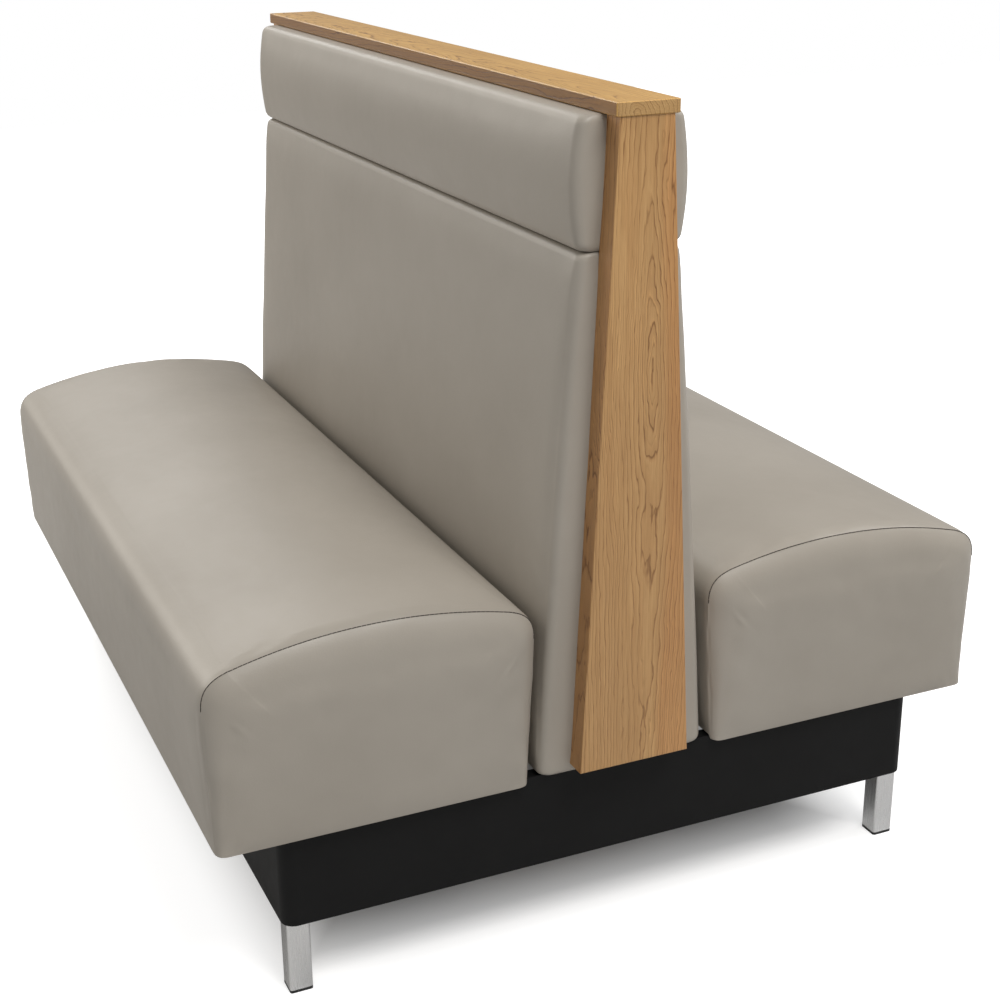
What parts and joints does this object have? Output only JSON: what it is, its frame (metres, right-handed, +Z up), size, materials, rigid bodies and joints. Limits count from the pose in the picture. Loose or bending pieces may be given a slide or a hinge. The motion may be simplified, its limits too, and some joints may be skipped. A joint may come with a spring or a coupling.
{
  "type": "restaurant booth seating",
  "caption": "Back-to-back restaurant booth: two upholstered benches share a padded back with oak ends and cap, on a black base with steel legs.",
  "frame": {"origin": "on the floor under the middle of the booth", "axes": "+X along the benches, +Y from the front bench towards the rear bench, +Z up"},
  "size_m": [1.286, 1.0804, 1.067],
  "materials": {
    "vinyl": "satin",
    "foam": "matte",
    "felt": "matte",
    "dust_cloth": "matte",
    "oak": "satin",
    "plywood": "matte",
    "frame_timber": "matte",
    "black_board": "satin",
    "leg_steel": "bright",
    "zinc_steel": "satin",
    "black_plastic": "matte"
  },
  "bodies": {
    "booth": {"back_bottom_board": "frame_timber", "back_end_frames": "frame_timber", "back_ribs": "frame_timber", "back_top_rail": "frame_timber", "base_corner_blocks": "frame_timber", "base_cross_rails": "frame_timber", "base_front_rail": "black_board", "base_left_rail": "black_board", "base_rear_rail": "black_board", "base_right_rail": "black_board", "bracket_screws": "zinc_steel", "end_battens": "frame_timber", "front_back_cover": "vinyl", "front_back_foam": "foam", "front_back_panel": "plywood", "front_headroll_cover": "vinyl", "front_headroll_foam": "foam", "front_seat_back_rail": "frame_timber", "front_seat_braces": "frame_timber", "front_seat_cover": "vinyl", "front_seat_dust_cover": "dust_cloth", "front_seat_end_rails": "frame_timber", "front_seat_foam": "foam", "front_seat_front_rail": "frame_timber", "front_seat_padding": "foam", "front_seat_springs": "zinc_steel", "left_end_panel": "oak", "leg_plates": "zinc_steel", "leg_plugs": "black_plastic", "leg_screws": "zinc_steel", "leg_tubes": "leg_steel", "mounting_brackets": "zinc_steel", "oak_screws": "zinc_steel", "rear_back_cover": "vinyl", "rear_back_foam": "foam", "rear_back_panel": "plywood", "rear_headroll_cover": "vinyl", "rear_headroll_foam": "foam", "rear_seat_back_rail": "frame_timber", "rear_seat_braces": "frame_timber", "rear_seat_cover": "vinyl", "rear_seat_dust_cover": "dust_cloth", "rear_seat_end_rails": "frame_timber", "rear_seat_foam": "foam", "rear_seat_front_rail": "frame_timber", "rear_seat_padding": "foam", "rear_seat_springs": "zinc_steel", "right_end_panel": "oak", "seat_felts": "felt", "spring_clips": "zinc_steel", "top_cap": "oak"},
    "front_left_stem": {"front_left_foot_stem": "zinc_steel"},
    "front_left_pad": {"front_left_foot_pad": "black_plastic"},
    "front_right_stem": {"front_right_foot_stem": "zinc_steel"},
    "front_right_pad": {"front_right_foot_pad": "black_plastic"},
    "rear_left_stem": {"rear_left_foot_stem": "zinc_steel"},
    "rear_left_pad": {"rear_left_foot_pad": "black_plastic"},
    "rear_right_stem": {"rear_right_foot_stem": "zinc_steel"},
    "rear_right_pad": {"rear_right_foot_pad": "black_plastic"}
  },
  "joints": [
    {"name": "front_left_stem_slide", "type": "slide", "parent": "booth", "child": "front_left_stem", "axis": [0, 0, -1], "range_m": [0, 0.012]},
    {"name": "front_left_pad_turn", "type": "hinge", "parent": "front_left_stem", "child": "front_left_pad", "pos_m": [-0.575, -0.435, 0], "axis": [0, 0, -1], "range_deg": [0, 2880]},
    {"name": "front_right_stem_slide", "type": "slide", "parent": "booth", "child": "front_right_stem", "axis": [0, 0, -1], "range_m": [0, 0.012]},
    {"name": "front_right_pad_turn", "type": "hinge", "parent": "front_right_stem", "child": "front_right_pad", "pos_m": [0.575, -0.435, 0], "axis": [0, 0, -1], "range_deg": [0, 2880]},
    {"name": "rear_left_stem_slide", "type": "slide", "parent": "booth", "child": "rear_left_stem", "axis": [0, 0, -1], "range_m": [0, 0.012]},
    {"name": "rear_left_pad_turn", "type": "hinge", "parent": "rear_left_stem", "child": "rear_left_pad", "pos_m": [-0.575, 0.435, 0], "axis": [0, 0, -1], "range_deg": [0, 2880]},
    {"name": "rear_right_stem_slide", "type": "slide", "parent": "booth", "child": "rear_right_stem", "axis": [0, 0, -1], "range_m": [0, 0.012]},
    {"name": "rear_right_pad_turn", "type": "hinge", "parent": "rear_right_stem", "child": "rear_right_pad", "pos_m": [0.575, 0.435, 0], "axis": [0, 0, -1], "range_deg": [0, 2880]}
  ],
  "couplings": [
    {"joint": "front_left_pad_turn", "follows": "front_left_stem_slide", "rad_per_m": 4188.8},
    {"joint": "front_right_pad_turn", "follows": "front_right_stem_slide", "rad_per_m": 4188.8},
    {"joint": "rear_left_pad_turn", "follows": "rear_left_stem_slide", "rad_per_m": 4188.8},
    {"joint": "rear_right_pad_turn", "follows": "rear_right_stem_slide", "rad_per_m": 4188.8}
  ]
}
